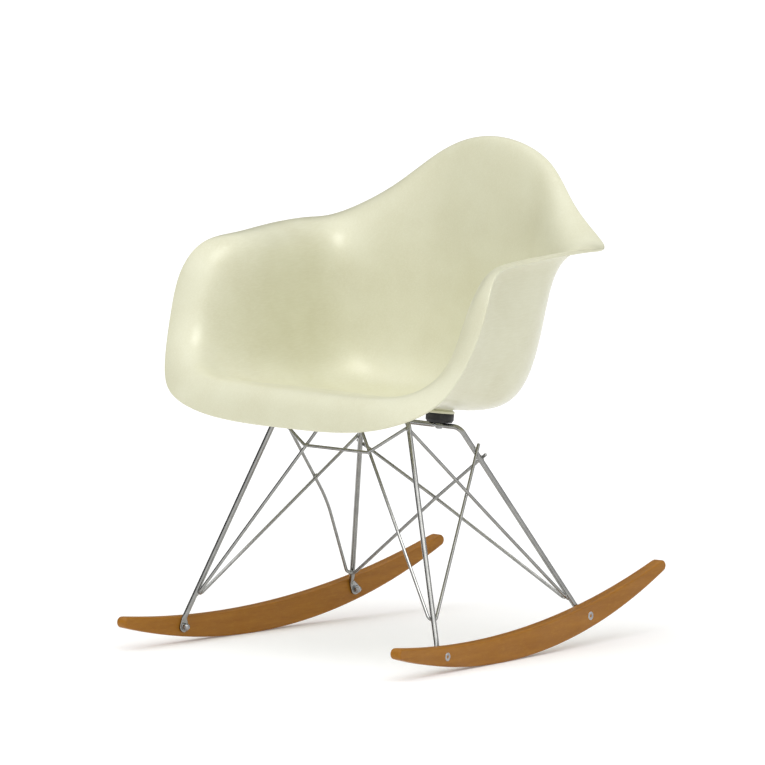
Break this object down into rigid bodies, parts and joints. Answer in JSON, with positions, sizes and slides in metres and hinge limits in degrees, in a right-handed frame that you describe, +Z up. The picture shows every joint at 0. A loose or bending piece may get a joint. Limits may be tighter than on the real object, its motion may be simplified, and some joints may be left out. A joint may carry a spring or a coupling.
{
  "type": "rocking chair",
  "caption": "Rocking armchair: a moulded shell seat with flanged arms on rubber mounts, a welded wire base and two curved wooden rockers.",
  "frame": {"origin": "on the floor, midway between the rockers, under the line where they touch it at rest", "axes": "+Z up, -Y to the front, +X to the sitter's left; the X = 0 plane is the chair's mid-plane"},
  "size_m": [0.608, 0.696, 0.7509],
  "materials": {
    "shell": "satin glass-fibre reinforced plastic, off-white with a faint fibre figure",
    "pad": "satin, as the shell",
    "rubber": "matt black",
    "chrome": "bright chromed steel",
    "steel": "zinc-plated fasteners",
    "maple": "honey-coloured satin lacquer"
  },
  "bodies": {
    "base": {"front_left_shock_mount": "rubber", "front_right_shock_mount": "rubber", "rear_left_shock_mount": "rubber", "rear_right_shock_mount": "rubber", "mount_inserts": "steel", "mount_screws": "steel", "front_leg_rod": "chrome", "rear_leg_rod": "chrome", "front_upper_brace": "chrome", "left_front_brace": "chrome", "right_front_brace": "chrome", "left_rear_brace": "chrome", "right_rear_brace": "chrome", "left_rocker": "maple", "right_rocker": "maple", "rocker_bolts": "steel", "rocker_washers": "steel", "rocker_nuts": "steel"},
    "seat": {"seat_shell": "shell", "front_left_pad": "pad", "front_right_pad": "pad", "rear_left_pad": "pad", "rear_right_pad": "pad"}
  },
  "joints": [
    {"name": "seat_flex", "type": "hinge", "parent": "base", "child": "seat", "pos_m": [0, 0.018, 0.369], "axis": [1, 0, 0], "range_deg": [-1.5, 1.5], "stiffness_Nm_per_rad": 9000, "deforming": ["front_left_shock_mount", "front_right_shock_mount", "rear_left_shock_mount", "rear_right_shock_mount"]}
  ]
}
